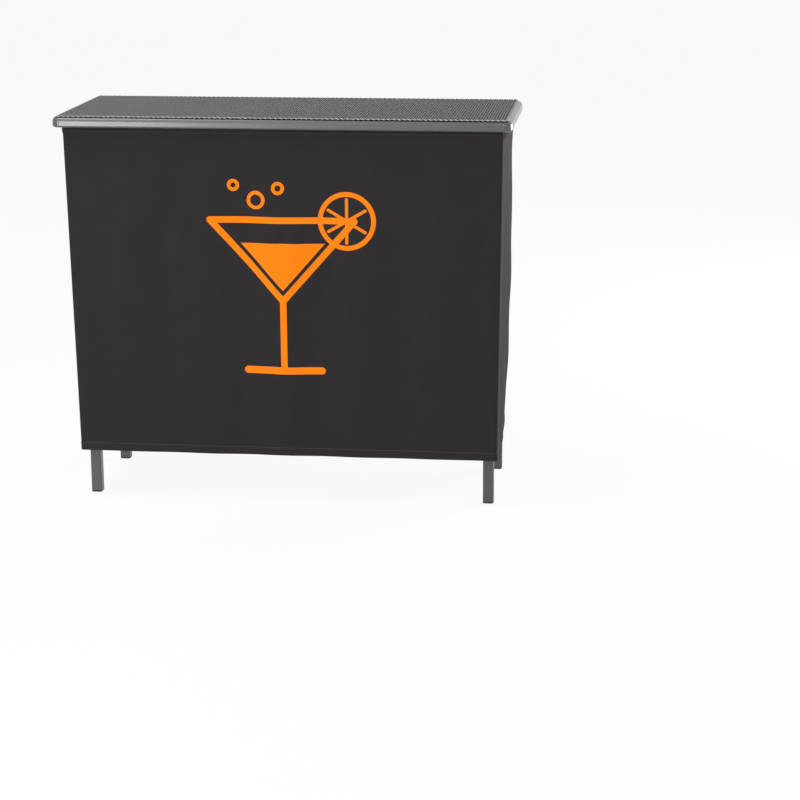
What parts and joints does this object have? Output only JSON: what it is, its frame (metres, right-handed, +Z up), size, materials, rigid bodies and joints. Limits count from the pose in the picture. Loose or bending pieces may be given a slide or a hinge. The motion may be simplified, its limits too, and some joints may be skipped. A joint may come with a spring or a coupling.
{
  "type": "folding portable bar",
  "caption": "Folding portable bar: mesh counter with bullnose rim, inward-folding square-tube leg frames with link braces, lift-out mesh shelf and a hanging cloth skirt",
  "frame": {"origin": "on the floor under the middle of the counter", "axes": "+X along the counter, +Y towards the operator, +Z up; the skirted customer side faces -Y"},
  "size_m": [1.05, 0.41, 0.914],
  "materials": {
    "frame": "satin charcoal powder coat on steel tube and sheet",
    "mesh": "satin charcoal powder coat on expanded steel mesh",
    "zinc": "bright zinc plate",
    "plastic": "matt black moulded plug",
    "cloth": "black woven polyester, plain weave",
    "tape": "black woven hook-and-loop tape"
  },
  "bodies": {
    "top": {"brace_anchor_left_front": "frame", "brace_anchor_left_rear": "frame", "brace_anchor_right_front": "frame", "brace_anchor_right_rear": "frame", "hinge_carrier_left": "frame", "hinge_carrier_right": "frame", "hook_tape_front": "tape", "hook_tape_left": "tape", "hook_tape_right": "tape", "pivot_pin_left_front": "zinc", "pivot_pin_left_rear": "zinc", "pivot_pin_right_front": "zinc", "pivot_pin_right_rear": "zinc", "rim_front": "frame", "rim_left": "frame", "rim_rear": "frame", "rim_right": "frame", "skirt_front": "cloth", "skirt_left": "cloth", "skirt_right": "cloth", "strap_brace_left": "frame", "strap_brace_right": "frame", "strap_middle": "frame", "top_mesh": "mesh"},
    "left_frame": {"foot_left_front": "plastic", "foot_left_rear": "plastic", "leg_band_left": "tape", "leg_left_front": "frame", "leg_left_rear": "frame", "shelf_bracket_left_front": "frame", "shelf_bracket_left_rear": "frame", "stretcher_left": "frame"},
    "right_frame": {"foot_right_front": "plastic", "foot_right_rear": "plastic", "leg_band_right": "tape", "leg_right_front": "frame", "leg_right_rear": "frame", "shelf_bracket_right_front": "frame", "shelf_bracket_right_rear": "frame", "stretcher_right": "frame"},
    "shelf": {"shelf_end_left": "frame", "shelf_end_right": "frame", "shelf_mesh": "mesh", "shelf_rail_front": "frame", "shelf_rail_rear": "frame", "shelf_strap_left": "frame", "shelf_strap_right": "frame"},
    "leg_link_left_front": {"brace_leg_link_left_front": "zinc"},
    "top_link_left_front": {"brace_top_link_left_front": "zinc"},
    "leg_link_left_rear": {"brace_leg_link_left_rear": "zinc"},
    "top_link_left_rear": {"brace_top_link_left_rear": "zinc"},
    "leg_link_right_front": {"brace_leg_link_right_front": "zinc"},
    "top_link_right_front": {"brace_top_link_right_front": "zinc"},
    "leg_link_right_rear": {"brace_leg_link_right_rear": "zinc"},
    "top_link_right_rear": {"brace_top_link_right_rear": "zinc"}
  },
  "joints": [
    {"name": "fold_left", "type": "hinge", "parent": "top", "child": "left_frame", "pos_m": [-0.4715, 0.028, 0.893], "axis": [0, -1, 0], "range_deg": [0, 90]},
    {"name": "fold_right", "type": "hinge", "parent": "top", "child": "right_frame", "pos_m": [0.4715, 0.028, 0.865], "axis": [0, 1, 0], "range_deg": [0, 90]},
    {"name": "brace_leg_rivet_left_front", "type": "hinge", "parent": "left_frame", "child": "leg_link_left_front", "pos_m": [-0.4715, -0.117, 0.756], "axis": [0, -1, 0], "range_deg": [-132.7, 0]},
    {"name": "brace_top_rivet_left_front", "type": "hinge", "parent": "top", "child": "top_link_left_front", "pos_m": [-0.323, -0.117, 0.893], "axis": [0, -1, 0], "range_deg": [0, 137.4]},
    {"name": "brace_leg_rivet_left_rear", "type": "hinge", "parent": "left_frame", "child": "leg_link_left_rear", "pos_m": [-0.4715, 0.173, 0.756], "axis": [0, -1, 0], "range_deg": [-132.7, 0]},
    {"name": "brace_top_rivet_left_rear", "type": "hinge", "parent": "top", "child": "top_link_left_rear", "pos_m": [-0.323, 0.173, 0.893], "axis": [0, -1, 0], "range_deg": [0, 137.4]},
    {"name": "brace_leg_rivet_right_front", "type": "hinge", "parent": "right_frame", "child": "leg_link_right_front", "pos_m": [0.4715, -0.117, 0.741], "axis": [0, 1, 0], "range_deg": [-131.5, 0]},
    {"name": "brace_top_rivet_right_front", "type": "hinge", "parent": "top", "child": "top_link_right_front", "pos_m": [0.343, -0.117, 0.896], "axis": [0, 1, 0], "range_deg": [0, 120.9]},
    {"name": "brace_leg_rivet_right_rear", "type": "hinge", "parent": "right_frame", "child": "leg_link_right_rear", "pos_m": [0.4715, 0.173, 0.741], "axis": [0, 1, 0], "range_deg": [-131.5, 0]},
    {"name": "brace_top_rivet_right_rear", "type": "hinge", "parent": "top", "child": "top_link_right_rear", "pos_m": [0.343, 0.173, 0.896], "axis": [0, 1, 0], "range_deg": [0, 120.9]},
    {"name": "shelf_lift", "type": "slide", "parent": "top", "child": "shelf", "axis": [0, 0, 1], "range_m": [0, 0.3905]}
  ],
  "couplings": [
    {"joint": "brace_leg_rivet_left_front", "follows": "fold_left", "ratio": -1.4744},
    {"joint": "brace_top_rivet_left_front", "follows": "fold_left", "ratio": 1.5256},
    {"joint": "brace_leg_rivet_left_rear", "follows": "fold_left", "ratio": -1.4744},
    {"joint": "brace_top_rivet_left_rear", "follows": "fold_left", "ratio": 1.5256},
    {"joint": "brace_leg_rivet_right_front", "follows": "fold_right", "ratio": -1.46},
    {"joint": "brace_top_rivet_right_front", "follows": "fold_right", "ratio": 1.3432},
    {"joint": "brace_leg_rivet_right_rear", "follows": "fold_right", "ratio": -1.46},
    {"joint": "brace_top_rivet_right_rear", "follows": "fold_right", "ratio": 1.3432},
    {"joint": "shelf_lift", "follows": "fold_left", "m_per_rad": 0.24841}
  ]
}
